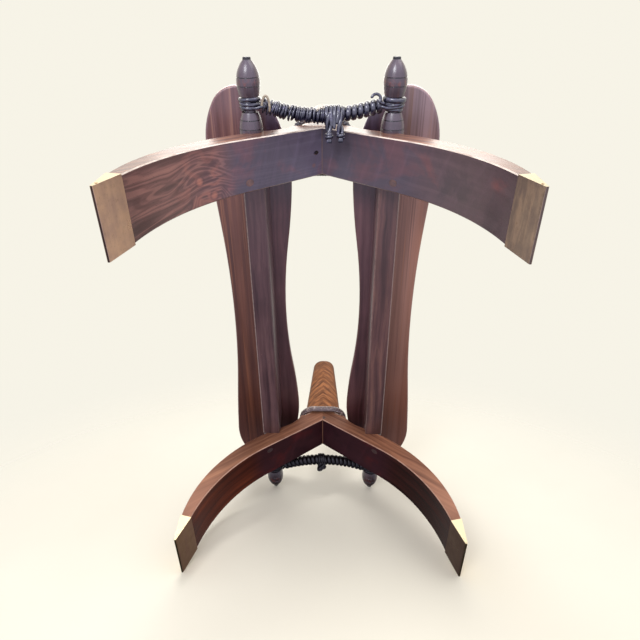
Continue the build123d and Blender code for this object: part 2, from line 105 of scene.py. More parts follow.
class Tree:
    """A short way to write node trees."""

    def __init__(self, tree):
        self.tree = tree
        tree.nodes.clear()

    def node(self, kind, inputs=(), **settings):
        made = self.tree.nodes.new("ShaderNode" + kind)
        for name, value in settings.items():
            setattr(made, name, value)
        for key, value in dict(inputs).items():
            socket = made.inputs[key]
            if isinstance(value, bpy.types.NodeSocket):
                self.tree.links.new(value, socket)
            else:
                socket.default_value = (*value, 1) if socket.type == "RGBA" else value
        return made

    def place(self):
        return self.node("TexCoord").outputs["Object"]

    def facing(self):
        return self.split(self.node("TexCoord").outputs["Normal"])

    def split(self, vector):
        return self.node("SeparateXYZ", {0: vector}).outputs

    def math(self, operation, a, b=0, clamp=False):
        return self.node("Math", {0: a, 1: b}, operation=operation, use_clamp=clamp).outputs[0]

    def size(self, a):
        return self.math("ABSOLUTE", a)

    def plus(self, a, b):
        return self.math("ADD", a, b)

    def minus(self, a, b):
        return self.math("SUBTRACT", a, b)

    def times(self, a, *others):
        for other in others:
            a = self.math("MULTIPLY", a, other)
        return a

    def vector(self, operation, a, b):
        made = self.node("VectorMath", {0: a, 1: b}, operation=operation)
        return made.outputs["Value" if operation in ("DOT_PRODUCT", "DISTANCE") else "Vector"]

    def stretch(self, vector, factors):
        return self.vector("MULTIPLY", vector, factors)

    def span(self, value, low, high, to_low=0, to_high=1):
        """Value between low and high, spread smoothly from to_low to to_high."""
        inputs = {"Value": value, "From Min": low, "From Max": high, "To Min": to_low, "To Max": to_high}
        return self.node("MapRange", inputs, interpolation_type="SMOOTHSTEP").outputs["Result"]

    def mix(self, share, a, b, blend="MIX"):
        return self.node("Mix", {0: share, 6: a, 7: b}, data_type="RGBA", blend_type=blend).outputs[2]

    def layers(self, colour, *rows):
        """A colour with others laid over it in turn, each by its share."""
        for share, over in rows:
            colour = self.mix(share, colour, over)
        return colour

    def tint(self, colour, factors):
        return self.mix(1, colour, factors, "MULTIPLY")

    def grey(self, level):
        return self.node("CombineColor", {0: level, 1: level, 2: level}).outputs[0]

    def ramp(self, value, *stops):
        made = self.node("ValToRGB", {"Fac": value})
        elements = made.color_ramp.elements
        while len(elements) < len(stops):
            elements.new(0.5)
        for element, (place, colour) in zip(elements, stops):
            element.position = place
            element.color = (*colour, 1)
        return made.outputs["Color"]

    def noise(self, vector, scale, seed, detail=3, roughness=0.6, distortion=0, output="Fac"):
        inputs = {"Vector": vector, "Scale": scale, "W": seed, "Detail": detail,
                  "Roughness": roughness, "Distortion": distortion}
        return self.node("TexNoise", inputs, noise_dimensions="4D").outputs[output]

    def bump(self, height, strength, distance):
        inputs = {"Height": height, "Strength": strength, "Distance": distance}
        return self.node("Bump", inputs).outputs["Normal"]


def rgb(red, green, blue):
    """A colour as a screen shows it, 0 to 255, made linear."""
    return tuple((part / 255) ** 2.2 for part in (red, green, blue))


def material(name):
    made = bpy.data.materials.new(name)
    made.use_nodes = True
    return made, Tree(made.node_tree)


def finish_material(tree, inputs):
    shader = tree.node("BsdfPrincipled", inputs)
    tree.node("OutputMaterial", {"Surface": shader.outputs[0]})


def dress(made, *names):
    for name in names:
        slots = nodes[name].data.materials
        slots.clear()
        slots.append(made)


# Wood: how far in metres its grain wanders, and what a curl in the grain adds
DRIFT, CURL_DRIFT, CURL_SHIFT, CURL_RINGS = 0.012, 0.03, 0.014, 9
ALONG_GRAIN, PORES_ALONG, PORES_ACROSS = 20, 14, 8.5
BLACK, WHITE = (0, 0, 0), (1, 1, 1)


class Paint:
    """What a kind of piece adds to plain wood."""

    def figure(self, t, place):
        """How much the grain curls: not at all in straight timber."""
        return 0


def wandering(t, place, turned, curl, seed):
    """The turned coordinates, bent a little everywhere and more where the grain curls."""
    drift = t.noise(place, 11, seed, detail=2, roughness=0.5, output="Color")
    drift = t.vector("SUBTRACT", drift, (0.5, 0.5, 0.5))
    reach = t.plus(DRIFT, t.times(curl, CURL_DRIFT))
    drift = t.node("VectorMath", {0: drift, 3: reach}, operation="SCALE").outputs["Vector"]
    shift = t.node("CombineXYZ", {1: t.times(curl, CURL_SHIFT)}).outputs[0]
    return t.vector("ADD", t.vector("ADD", turned, drift), shift)


def wood_pores(t, turned, scale, seed):
    """Short dark pores, finer than the streaks."""
    finer = tuple(part * (PORES_ALONG if part < ALONG_GRAIN else PORES_ACROSS) for part in scale)
    pores = t.noise(t.stretch(turned, finer), 1, seed, detail=2)
    return t.span(pores, 0.6, 0.72)


def streaked(t, streaks, rings, veins, shades):
    """Streaks from dark to light, with dark and pale growth rings."""
    dark, middle, light = shades
    colour = t.ramp(streaks, (0.34, dark), (0.52, middle), (0.68, light))
    colour = t.mix(t.times(t.span(rings, 0.35, 1), veins), colour, t.mix(0.7, colour, dark))
    return t.mix(t.times(t.span(rings, -0.55, -1), veins * 0.7), colour, light)


def wood(name, shades, seed, paint, scale, turn=0, under=None, veins=0.3, lines=52, coat=0.8,
         gloss=0.5):
    """Hardwood. Its grain runs where scale is smallest, once the coordinates are turned about Y."""
    made, t = material(name)
    place = t.place()
    turned = t.node("VectorRotate", {"Vector": place, "Angle": turn},
                    rotation_type="Y_AXIS").outputs["Vector"]
    curl = paint.figure(t, place)
    pores = wood_pores(t, turned, scale, seed + 5)
    if under:
        on_flank = t.span(t.size(t.facing()[1]), 0.6, 0.8)
        scale = t.mix(on_flank, under, scale)
    grain = t.stretch(wandering(t, place, turned, curl, seed), scale)
    streaks = t.noise(grain, 1, seed, detail=6, roughness=0.62)
    broad = t.noise(grain, 0.3, seed + 3, detail=2, roughness=0.5)
    rings = t.math("SINE", t.plus(t.times(broad, lines), t.times(curl, CURL_RINGS)))
    colour = streaked(t, streaks, rings, veins, shades)
    colour = t.mix(t.times(pores, 0.55), colour, t.mix(0.3, shades[0], BLACK))
    blotch = t.noise(place, 8, seed + 7, roughness=0.55)
    colour = t.tint(colour, t.grey(t.span(blotch, 0.32, 0.68, 0.72, 1.22)))
    polish = t.plus(t.span(streaks, 0.3, 0.7, 0.3, 0.46), t.times(pores, 0.15))
    height = t.minus(t.times(streaks, 0.5), pores)
    colour, polish = paint.paint(t, place, colour, polish)
    finish_material(t, {
        "Base Color": colour, "Roughness": polish, "Specular IOR Level": gloss,
        "Coat Weight": coat, "Coat Roughness": 0.27, "Normal": t.bump(height, 0.25, 0.0004)})
    return made


# Legs: where each mark begins and where it is full, in metres
HORN_BASE = (APEX_Z + 0.012, APEX_Z + 0.03)
HORN_HEAD_FROM, HORN_TOP = (0.36, 0.4), (0.398, 0.408)
STRAIGHT_PART = (0.116, 0.088)
NEAR_MITRE = (0.06, 0.005)
MITRE_FILLER = (0.0007, 0.0003)
FILLER_TOP = (APEX_Z + 0.01, APEX_Z + 0.002)
NEAR_ARRIS, FAR_ARRIS = (0.024, 0.026), (-0.024, -0.026)
FOOT_GRIME = (0.058, 0.038)
PALE_FLANK = (0.17, 0.05)
KNOT_RIM_OUTSIDE, KNOT_RIM_INSIDE, KNOT_HEART = (0.0075, 0.005), (0.003, 0.005), (0.0056, 0.001)

LEG_WOOD = (rgb(84, 50, 40), rgb(128, 86, 68), rgb(172, 120, 92))
CALM_WOOD, PALE_MARK, DARK_MARK = rgb(122, 82, 68), rgb(176, 118, 100), rgb(86, 62, 58)
RED_CLOUD, DIM_CLOUD = (2.1, 1.15, 0.95), (0.55, 0.55, 0.6)
PALER_REAR_FLANK = rgb(190, 140, 118)
# Arris colours: partly wear and partly painted highlight
ARRIS_WEAR_AND_HIGHLIGHT = {"front": rgb(244, 226, 214), "rear": rgb(196, 154, 136)}
FILLER = {"front": rgb(128, 104, 98), "rear": rgb(150, 112, 92)}
GRIME = rgb(44, 24, 22)
DARK_CURL, PALE_CURL = rgb(78, 46, 46), rgb(180, 114, 84)
KNOT_RIM, KNOT_MIDDLE = rgb(84, 48, 46), rgb(204, 128, 90)
HORN_DARK, HORN_LIGHT = rgb(90, 56, 36), rgb(170, 110, 70)
CHEVRON, SCRIBBLE = rgb(78, 44, 30), rgb(48, 34, 28)
HORN_SIDE_SHADE, HORN_RIM, HORN_HEAD = rgb(106, 80, 60), rgb(52, 38, 34), rgb(96, 66, 50)


@dataclass
class LegPaint(Paint):
    """A leg's underside tinted with painted light, knots, a horn with painted shade on its sides, arrises
    partly worn and partly painted highlight, mitre filler and grime.
    """

    end: str
    painted_light_tints: tuple
    calm: float
    knots: tuple
    spots: tuple

    def figure(self, t, place):
        """The grain curls round the knots."""
        total = 0
        for spot, reach in self.knots:
            far = t.vector("DISTANCE", place, spot)
            total = t.math("ADD", total, t.span(far, reach, 0), clamp=True)
        return total

    def paint(self, t, place, colour, polish):
        x, y, z = t.split(place)
        facing = t.facing()
        flank = t.size(facing[1])
        away = t.size(x)
        wear = t.noise(place, 60, 2, detail=4)
        on_horn = t.span(z, *HORN_BASE)
        below = t.times(t.span(flank, 0.8, 0.5), t.span(facing[2], 0.1, -0.15))
        colour = self.knotted(t, place, colour)
        colour, polish = self.underside(t, place, y, away, below, colour, polish)
        if self.end == "rear":
            # The rear flanks turn paler towards the foot
            pale = t.times(t.span(flank, 0.6, 0.9), t.span(z, *PALE_FLANK, 0, 0.55))
            colour = t.mix(pale, colour, PALER_REAR_FLANK)
        colour = t.mix(on_horn, colour, self.horn(t, place, x, z, flank))
        # Pale arrises: partly wear and partly painted highlight
        worn = t.times(self.arrises(t, y, flank, on_horn), t.span(wear, 0.3, 0.6, 0.4, 1))
        colour = t.mix(worn, colour, ARRIS_WEAR_AND_HIGHLIGHT[self.end])
        polish = t.minus(polish, t.times(worn, 0.08))
        polish = t.plus(polish, t.times(on_horn, 0.18))
        seam = t.times(t.span(away, *MITRE_FILLER), t.span(z, *FILLER_TOP),
                       t.span(wear, 0.25, 0.5, 0.4, 0.9))
        colour = t.mix(seam, colour, FILLER[self.end])
        foot = t.times(t.span(z, *FOOT_GRIME), t.times(wear, 0.45))
        return self.spotted(t, place, t.mix(foot, colour, GRIME)), polish

    def underside(self, t, place, y, away, below, colour, polish):
        """Even wood with cross marks and clouds, tinted by painted light that changes towards the mitre: a
        bluish painted reflection on the front legs, painted shade on the rear legs.
        """
        foot, middle, mitre = self.painted_light_tints
        straight = t.span(away, *STRAIGHT_PART)
        tint = t.mix(straight, foot, middle)
        tint = t.mix(t.span(away, *NEAR_MITRE), tint, mitre)
        calm = t.times(below, t.math("MAXIMUM", straight, self.calm))
        colour = t.mix(t.times(calm, 0.8), colour, CALM_WOOD)
        slanted = t.vector("ADD", place, t.node("CombineXYZ", {0: t.times(y, 0.25)}).outputs[0])
        marks = t.noise(t.stretch(slanted, (120, 8, 30)), 1, 27, detail=4, distortion=0.4)
        colour = t.mix(t.times(calm, t.span(marks, 0.5, 0.72, 0, 0.24)), colour, PALE_MARK)
        colour = t.mix(t.times(calm, t.span(marks, 0.46, 0.3, 0, 0.25)), colour, DARK_MARK)
        polish = t.plus(polish, t.times(calm, t.span(marks, 0.4, 0.7, 0, 0.1)))
        # Painted light on the underside: a bluish painted reflection on the front legs, painted shade on
        # the rear legs
        colour = t.mix(below, colour, t.tint(colour, tint))
        clouds = t.noise(place, 19, 33, detail=4, distortion=0.6)
        for edge, full, factors in ((0.53, 0.68, RED_CLOUD), (0.48, 0.36, DIM_CLOUD)):
            share = t.times(calm, t.span(clouds, edge, full, 0, 0.7))
            colour = t.mix(share, colour, t.tint(colour, factors))
        return colour, polish

    def arrises(self, t, y, flank, on_horn):
        """The bow's rounded edges below the horn, those nearer the front above all."""
        edge = t.times(t.span(flank, 0.3, 0.55), t.span(flank, 0.99, 0.9), t.minus(1, on_horn))
        forward = t.minus(Y_SIGN[self.end] * BOW_Y, y)
        return t.times(edge, t.math("MAXIMUM", t.span(forward, *NEAR_ARRIS),
                                    t.span(forward, *FAR_ARRIS, 0, 0.15)))

    def spotted(self, t, place, colour):
        for spot, size, shade in self.spots:
            near = t.span(t.vector("DISTANCE", place, spot), size, size * 0.45)
            colour = t.mix(t.times(near, 0.8), colour, shade)
        return colour

    def knotted(self, t, place, colour):
        """Pale orange knots with a darker rim, in dark and pale flowing grain."""
        curls = t.noise(t.stretch(place, (0.75, 1.25, 0.75)), 25, 14, detail=2, roughness=0.45,
                        distortion=0.5)
        curls = t.math("SINE", t.times(curls, 36))
        for spot, reach in self.knots:
            near = t.span(t.vector("DISTANCE", place, spot), reach, reach * 0.35)
            colour = t.layers(
                colour, (t.times(near, t.span(curls, 0.1, 1, 0, 0.36)), DARK_CURL),
                (t.times(near, t.span(curls, -0.2, -1, 0, 0.34)), PALE_CURL))
        for spot, reach in self.knots:
            far = t.vector("DISTANCE", place, spot)
            rim = t.times(t.span(far, *KNOT_RIM_OUTSIDE), t.span(far, *KNOT_RIM_INSIDE))
            colour = t.layers(colour, (t.times(rim, 0.4), KNOT_RIM),
                              (t.span(far, *KNOT_HEART, 0, 0.6), KNOT_MIDDLE))
        return colour

    def horn(self, t, place, x, z, flank):
        """A warm brown with chevrons and dark scribbled figure, greyer on the sides by painted shade."""
        rise = t.plus(z, t.times(t.size(x), 1.1))
        bend = t.times(t.noise(place, 42, 19), 9)
        chevron = t.math("SINE", t.plus(t.times(rise, 420), bend))
        slanted = {0: t.times(rise, 330), 1: t.times(x, 60), 2: t.times(z, 14)}
        fibre = t.noise(t.node("CombineXYZ", slanted).outputs[0], 1, 9, detail=4, roughness=0.62,
                        distortion=0.3)
        scribble = t.noise(place, 95, 21, detail=4, roughness=0.7, distortion=1.6)
        # The greyer sides are painted shade
        return t.layers(
            HORN_DARK, (t.span(fibre, 0.32, 0.68), HORN_LIGHT),
            (t.span(chevron, 0, 1, 0, 0.5), CHEVRON),
            (t.times(t.span(scribble, 0.6, 0.66), 0.65), SCRIBBLE),
            (t.span(flank, 0.75, 0.3, 0, 0.55), HORN_SIDE_SHADE),
            (t.span(z, *HORN_TOP, 0, 0.6), HORN_RIM),
            (t.span(z, *HORN_HEAD_FROM, 0, 0.3), HORN_HEAD))


# Rails: where each mark begins and where it is full, in metres
TURNED_END = (0.2605, 0.2625)
DARK_NUB = (0.3365, 0.3378)
CUT_LINE = (0.0008, 0.0003)
RUBBED_BAND_Y = 0.3155
RUBBED_BAND = (0.006, 0.002)
BATTEN_CORNER = (0.206, 0.203)
OUTER_CORNER = (0.08, 0.083)

# Finial tones: their blue is partly painted reflection; the rear ends are darkened by painted shade
FINIAL_DARK, FINIAL_LIGHT, REAR_FINIAL_SHADE = rgb(48, 40, 50), rgb(92, 80, 94), rgb(40, 32, 36)
GROOVE, BAND, NUB = rgb(20, 14, 16), rgb(140, 74, 62), rgb(18, 14, 16)
CORNER_WEAR_AND_HIGHLIGHT, SPECK = rgb(158, 126, 120), rgb(186, 132, 120)


@dataclass
class RailPaint(Paint):
    """Turned ends in blue black, the blue partly painted reflection and the rear ends darker by painted
    shade, and a square batten with thin pale corners, partly wear and partly painted highlight.
    """

    inner_corner_highlight: float

    def paint(self, t, place, colour, polish):
        x, y = t.split(place)[:2]
        along = t.size(y)
        rub = t.noise(place, 180, 4)
        colour, polish = self.turned(t, place, y, along, rub, colour, polish)
        return self.batten(t, place, x, along, rub, colour), polish

    def turned(self, t, place, y, along, rub, colour, polish):
        """The glossier turned ends, with painted reflection in their blue and painted shade at the rear,
        cut lines, a rubbed band and a dark nub.
        """
        turned_end = t.span(along, *TURNED_END)
        shade = t.mix(t.noise(place, 90, 5), FINIAL_DARK, FINIAL_LIGHT)
        # Painted shade: the rear turned ends are darker
        shade = t.mix(t.span(y, 0.1, 0.2), shade, REAR_FINIAL_SHADE)
        colour = t.mix(t.times(turned_end, 0.7), colour, shade)
        for line in GROOVE_YS:
            off = t.size(t.minus(along, line))
            colour = t.mix(t.span(off, *CUT_LINE, 0, 0.85), colour, GROOVE)
        band = t.span(t.size(t.minus(along, RUBBED_BAND_Y)), *RUBBED_BAND)
        colour = t.mix(t.times(band, t.span(rub, 0.45, 0.7, 0, 0.6)), colour, BAND)
        nub = t.span(along, *DARK_NUB)
        polish = t.minus(polish, t.times(turned_end, 0.12))
        return t.mix(nub, colour, NUB), t.math("MAXIMUM", polish, t.times(nub, 0.9))

    def batten(self, t, place, x, along, rub, colour):
        """Thin pale corners on the square batten, partly wear and partly painted highlight, and a few pale
        specks.
        """
        facing = t.facing()
        # Pale corners: partly wear and partly painted highlight
        corner = t.times(t.span(t.size(facing[0]), 0.35, 0.55), t.span(t.size(facing[2]), 0.35, 0.55),
                         t.span(along, *BATTEN_CORNER),
                         t.span(t.size(x), *OUTER_CORNER, self.inner_corner_highlight, 0.8),
                         t.span(rub, 0.35, 0.6, 0.2, 0.7))
        colour = t.mix(corner, colour, CORNER_WEAR_AND_HIGHLIGHT)
        speck = t.noise(place, 420, 12, detail=2, roughness=0.5)
        patch = t.noise(place, 22, 6, detail=1, roughness=0.5)
        speck = t.times(t.span(speck, 0.73, 0.77), t.span(patch, 0.5, 0.6))
        return t.mix(t.times(speck, 0.8), colour, SPECK)


class PegPaint(Paint):
    """The rear pegs are darkened with painted shade, as dark as the wood round them."""

    def paint(self, t, place, colour, polish):
        y = t.split(place)[1]
        # Painted shade on the rear pegs
        return t.mix(t.span(y, -0.1, 0.1, 0, 0.85), colour, rgb(54, 32, 30)), polish


# Boards: where each change begins and where it is full, in metres
OUTSIDE_BATTEN = (0.088, 0.098)
INSIDE_BATTEN = (0.072, 0.066)
STREAKED_FROM = (0.08, 0.098)
FRONT_STRETCH = (-0.19, -0.14)
FRONT_TIP = (-0.19, -0.27)
REAR_STRETCH = (-0.13, 0.21)
BROAD_GRAIN, PALE_GRAIN, DARK_GRAIN = (46, 1.3, 46), (260, 3, 260), (340, 2.2, 340)

WARM_STREAK, DARK_STREAK = rgb(176, 116, 92), rgb(64, 36, 36)
PALE_LINE, DARK_LINE = rgb(196, 132, 100), rgb(76, 44, 42)
# Painted shade inside the batten, darker near the front bow, and painted shade towards the rear
INSIDE_SHADE_FRONT, INSIDE_SHADE_REAR = (0.52, 0.58, 0.86), (0.92, 0.9, 1.15)
REAR_PAINTED_SHADE = (0.38, 0.3, 0.27)
BOARD_EDGE = rgb(160, 112, 98)


@dataclass
class BoardPaint(Paint):
    """Lengthwise stripes, plainer inside the batten. The outer tone is partly painted light, the inside of
    the batten takes painted shade, the front tip a cool painted reflection, and painted shade darkens it to
    the rear.
    """

    outer_tone_and_light: tuple
    front_tip_reflection: tuple
    streaks: float
    seed: float

    def paint(self, t, place, colour, polish):
        x, y = t.split(place)[:2]
        away = t.size(x)
        colour = self.striped(t, place, away, colour)
        # Painted shade inside the batten
        inside = t.tint(colour, t.mix(t.span(y, *FRONT_STRETCH), INSIDE_SHADE_FRONT, INSIDE_SHADE_REAR))
        colour = t.mix(t.span(away, *INSIDE_BATTEN, 0, 0.9), colour, inside)
        # Painted reflection: a cool tint at the front tip
        colour = t.mix(t.span(y, *FRONT_TIP), colour, t.tint(colour, self.front_tip_reflection))
        # Painted shade, darker towards the rear
        colour = t.mix(t.span(y, *REAR_STRETCH, 0, 0.84), colour, t.tint(colour, REAR_PAINTED_SHADE))
        upright = t.size(t.facing()[2])
        edge = t.times(t.span(upright, 0.3, 0.6), t.span(upright, 0.97, 0.8))
        rub = t.span(t.noise(place, 40, 8), 0.35, 0.65, 0.05, 0.4)
        return t.mix(t.times(edge, rub), colour, BOARD_EDGE), polish

    def striped(self, t, place, away, colour):
        """Broad warm and dark streaks, and outside the batten thin pale and dark lines."""
        outside = t.span(away, *OUTSIDE_BATTEN)
        broad = t.stretch(place, BROAD_GRAIN)
        warm = t.span(t.noise(broad, 1, self.seed), 0.46, 0.68, 0, self.streaks)
        dark = t.span(t.noise(broad, 1.7, self.seed + 9), 0.48, 0.7, 0, 0.4)
        pale = t.noise(t.stretch(place, PALE_GRAIN), 1, self.seed + 4)
        fine = t.noise(t.stretch(place, DARK_GRAIN), 1, self.seed + 6, detail=4)
        # Outside the batten a lighter tone, partly painted light
        return t.layers(
            colour, (t.times(outside, 0.55), self.outer_tone_and_light),
            (t.times(warm, t.span(away, *STREAKED_FROM, 0.2, 1)), WARM_STREAK), (dark, DARK_STREAK),
            (t.times(t.span(pale, 0.55, 0.66, 0, self.streaks), outside), PALE_LINE),
            (t.times(t.span(fine, 0.5, 0.36, 0, self.streaks * 0.55), outside), DARK_LINE))


# The tints of each leg's underside at the foot, in the middle and at the mitre, and its seed. The tints are
# painted light: a bluish painted reflection on the front legs and painted shade on the rear legs
LEGS = {
    "front_left": (((1.05, 1.02, 1.55), (0.44, 0.76, 1.8), (0.8, 1.5, 3.6)), 16),
    "front_right": (((0.52, 0.66, 1.25), (0.36, 0.56, 1.25), (0.5, 0.95, 2.1)), 19.7),
    "rear_left": (((0.42, 0.19, 0.13), (0.21, 0.14, 0.27), (0.21, 0.14, 0.27)), 18.3),
    "rear_right": (((0.13, 0.07, 0.09), (0.2, 0.14, 0.29), (0.2, 0.14, 0.29)), 22),
}
LEG_SCALE, UNDERSIDE_SCALE = (3, 110, 110), (3, 110, 16)

# How plain an underside is beyond its straight part, then knots and spots with their reach
CALM = {"front_right": 0.9}
KNOTS = {"front_left": [((-0.1282, -0.2293, 0.1293), 0.046), ((-0.1168, -0.2102, 0.1423), 0.034)]}
SPOTS = {
    "front_left": [((-0.0099, -0.2182, 0.2266), 0.0034, rgb(132, 96, 96))],
    "rear_right": [((0.0017, 0.2049, 0.2387), 0.0042, rgb(72, 66, 66))],
}
STRONG_GRAIN = {"veins": 0.85, "lines": 96}
DULL_POLISH = {"coat": 0.03, "gloss": 0.1}

# Each rail's shades, its seed, and how pale its inner corner is, a painted highlight
RAILS = {
    "left": ((rgb(66, 44, 48), rgb(94, 66, 70), rgb(120, 88, 88)), 2, 0.2),
    "right": ((rgb(66, 46, 46), rgb(98, 68, 68), rgb(132, 94, 84)), 6, 0.6),
}
RAIL_SCALE = (120, 3, 120)

# Each board's outer shade, partly painted light, cool tint of painted reflection at the front tip and share
# of streaks, then its seeds for stripes and for wood
BOARDS = {
    "left": ((rgb(140, 88, 72), (1.1, 1.42, 2.05), 0.5, 33), 3),
    "right": ((rgb(238, 178, 158), (0.7, 0.92, 1.3), 0.75, 37), 7),
}
BOARD_WOOD = (rgb(84, 52, 50), rgb(118, 78, 76), rgb(142, 100, 94))
BOARD_SCALE = (95, 2.4, 95)
PEG_WOOD = (rgb(86, 58, 54), rgb(108, 76, 70), rgb(130, 92, 80))
PEG_SCALE = (160, 160, 12)


def paint_legs():
    for corner, (painted_light_tints, seed) in LEGS.items():
        end, side = corner.split("_")
        paint = LegPaint(end, painted_light_tints, CALM.get(corner, 0), KNOTS.get(corner, ()), SPOTS.get(corner, ()))
        look = STRONG_GRAIN if corner in KNOTS else {}
        polish = DULL_POLISH if end == "rear" else {}
        turn = -X_SIGN[side] * SOFFIT_SLOPE
        made = wood(corner + "_leg_wood", LEG_WOOD, seed, paint, LEG_SCALE, turn, UNDERSIDE_SCALE,
                    **look, **polish)
        dress(made, corner + "_leg")


def paint_rails_and_boards():
    for side in X_SIGN:
        shades, seed, inner_corner_highlight = RAILS[side]
        made = wood(side + "_rail_wood", shades, seed, RailPaint(inner_corner_highlight), RAIL_SCALE)
        dress(made, side + "_rail")
        look, seed = BOARDS[side]
        made = wood(side + "_board_wood", BOARD_WOOD, seed, BoardPaint(*look), BOARD_SCALE, veins=0.35)
        dress(made, side + "_board")
    made = wood("peg_wood", PEG_WOOD, 3, PegPaint(), PEG_SCALE, veins=0.5)
    dress(made, "rail_pegs", "front_mitre_dowels", "rear_mitre_dowels")


# Metal: each cap's bright and dull brass, shares of tarnish and of sole dirt with painted shade, inside
# tint of painted shade, and seed
CAPS = {
    "front_left": (rgb(208, 172, 146), rgb(180, 150, 136), 0.8, 0.9, WHITE, 13),
    "front_right": (rgb(160, 140, 126), rgb(136, 120, 114), 0.8, 0.5, WHITE, 14),
    "rear_left": (rgb(240, 214, 150), rgb(204, 178, 128), 0.8, 0.8, (0.36, 0.26, 0.3), 12),
    "rear_right": (rgb(240, 214, 150), rgb(204, 178, 128), 0.8, 0.8, (0.16, 0.11, 0.14), 13),
}
PINS = (rgb(206, 170, 112), rgb(150, 122, 92), 0.9, 0.5, WHITE, 5)
BRUSHED, FINE_DIRT = rgb(226, 190, 160), rgb(104, 80, 60)
FLANK_BARE_AND_HIGHLIT, FOLD_WEAR_AND_HIGHLIGHT = rgb(255, 242, 206), rgb(236, 206, 150)
SOLE_DIRT_AND_SHADE, RIM_GRIME = rgb(44, 36, 34), rgb(52, 40, 30)
BRUSH_SCALE = (420, 22, 60)
RIM = (0.004, 0.0008)
IRON, RUST = rgb(40, 36, 36), rgb(66, 48, 42)


def brass(name, bright, tarnish, share, sole_dirt_and_shade, inside, seed, inward=0):
    """Brushed, tarnished brass, with flanks partly bare and partly painted highlight, a bright fold at the
    sole that is partly worn and partly painted highlight, a sole darkened by dirt and painted shade, and
    grime on its rim. The side that looks inward along X takes the inside tint, which is painted shade."""
    made, t = material(name)
    place = t.place()
    facing = t.facing()
    cloud = t.noise(place, 34, seed, detail=5, roughness=0.65)
    fine = t.noise(place, 240, seed + 1, detail=4, roughness=0.7)
    brushed = t.noise(t.stretch(place, BRUSH_SCALE), 1, seed + 2, detail=4, roughness=0.65)
    flank = t.span(t.size(facing[1]), 0.6, 0.9)
    # Flanks partly bare and partly painted highlight
    colour = t.layers(
        bright, (t.times(t.span(cloud, 0.35, 0.65), share), tarnish),
        (t.span(brushed, 0.42, 0.66, 0, 0.35), BRUSHED),
        (t.span(fine, 0.55, 0.75, 0, 0.35), FINE_DIRT),
        (t.times(flank, t.span(cloud, 0.3, 0.7, 0.9, 0.6)), FLANK_BARE_AND_HIGHLIT))
    # Painted shade on the side that looks inward
    inner = t.span(t.times(facing[0], inward), 0.5, 0.8)
    colour = t.mix(inner, colour, t.tint(colour, inside))
    fold = t.times(t.span(t.size(facing[1]), 0.25, 0.5), t.span(t.size(facing[2]), 0.25, 0.5),
                   t.span(cloud, 0.4, 0.6, 0.3, 0.9))
    grime = t.times(t.span(t.split(place)[2], *RIM), t.span(fine, 0.4, 0.6, 0, 0.4),
                    t.span(facing[2], -0.5, -0.1))
    # Sole: dirt and painted shade; fold: wear and painted highlight
    colour = t.layers(colour, (t.span(facing[2], -0.75, -0.92, 0, sole_dirt_and_shade), SOLE_DIRT_AND_SHADE),
                      (fold, FOLD_WEAR_AND_HIGHLIGHT), (grime, RIM_GRIME))
    rough = t.plus(t.span(cloud, 0.3, 0.7, 0.22, 0.36), t.times(brushed, 0.1))
    dents = t.noise(place, 90, seed + 3, detail=2, roughness=0.5)
    dents = t.plus(t.plus(dents, t.times(fine, 0.3)), t.times(brushed, 0.4))
    finish_material(t, {"Base Color": colour, "Metallic": 1, "Roughness": rough,
                        "Normal": t.bump(dents, 0.22, 0.0007)})
    return made


def old_iron():
    made, t = material("old_iron")
    rust = t.noise(t.place(), 600, 1, detail=4, roughness=0.7)
    finish_material(t, {
        "Base Color": t.mix(t.span(rust, 0.4, 0.6), IRON, RUST),
        "Metallic": 0.5, "Roughness": t.span(rust, 0.3, 0.7, 0.55, 0.8),
        "Normal": t.bump(rust, 0.3, 0.0003)})
    return made


def paint_metal():
    for corner, look in CAPS.items():
        side = corner.split("_")[1]
        dress(brass(corner + "_brass", *look, -X_SIGN[side]), corner + "_toe_cap")
    dress(brass("pin_brass_worn", *PINS), "toe_cap_pins")
    dress(old_iron(), "front_mitre_nail", "board_screws")


# Leather
def leather(name, base, worn, seed, rough=(0.26, 0.44), coat=1, coat_rough=0.1, coat_ior=1.5):
    made, t = material(name)
    place = t.place()
    coarse = t.noise(place, 140, seed, detail=4)
    fine = t.noise(place, 900, seed + 1)
    cracks = t.node("TexVoronoi", {"Vector": place, "Scale": 700},
                    feature="DISTANCE_TO_EDGE").outputs["Distance"]
    height = t.plus(t.times(t.span(cracks, 0, 0.12), 0.4), t.plus(fine, t.times(coarse, 1.5)))
    finish_material(t, {
        "Base Color": t.mix(t.span(coarse, 0.52, 0.72), base, worn),
        "Roughness": t.span(coarse, 0.3, 0.7, *rough), "Specular IOR Level": 0.25,
        "Coat Weight": coat, "Coat Roughness": coat_rough, "Coat IOR": coat_ior,
        "Normal": t.bump(height, 0.35, 0.0005)})
    return made


# Thongs: the front one is a lighter, bluer copy of the rear one, its blue partly painted reflection
THONGS = {
    "front": leather("thong_leather_black", rgb(28, 26, 48), rgb(84, 80, 112), 1, coat_ior=1.75),
    "rear": leather("thong_leather_rear", rgb(16, 10, 14), rgb(38, 26, 32), 2, coat=0.08,
                    coat_rough=0.25),
}
# Braids: the front one is a darker copy of the grey rear one, darkened as painted shade
BRAIDS = {
    "front": leather("braid_leather_shaded", rgb(46, 38, 42), rgb(104, 92, 94), 4, coat_rough=0.17),
    "rear": leather("braid_leather_grey", rgb(98, 78, 76), rgb(192, 170, 160), 4, coat_rough=0.17),
}
RAWHIDE = leather("rawhide_thread", rgb(186, 170, 150), rgb(222, 210, 190), 7, rough=(0.4, 0.6))


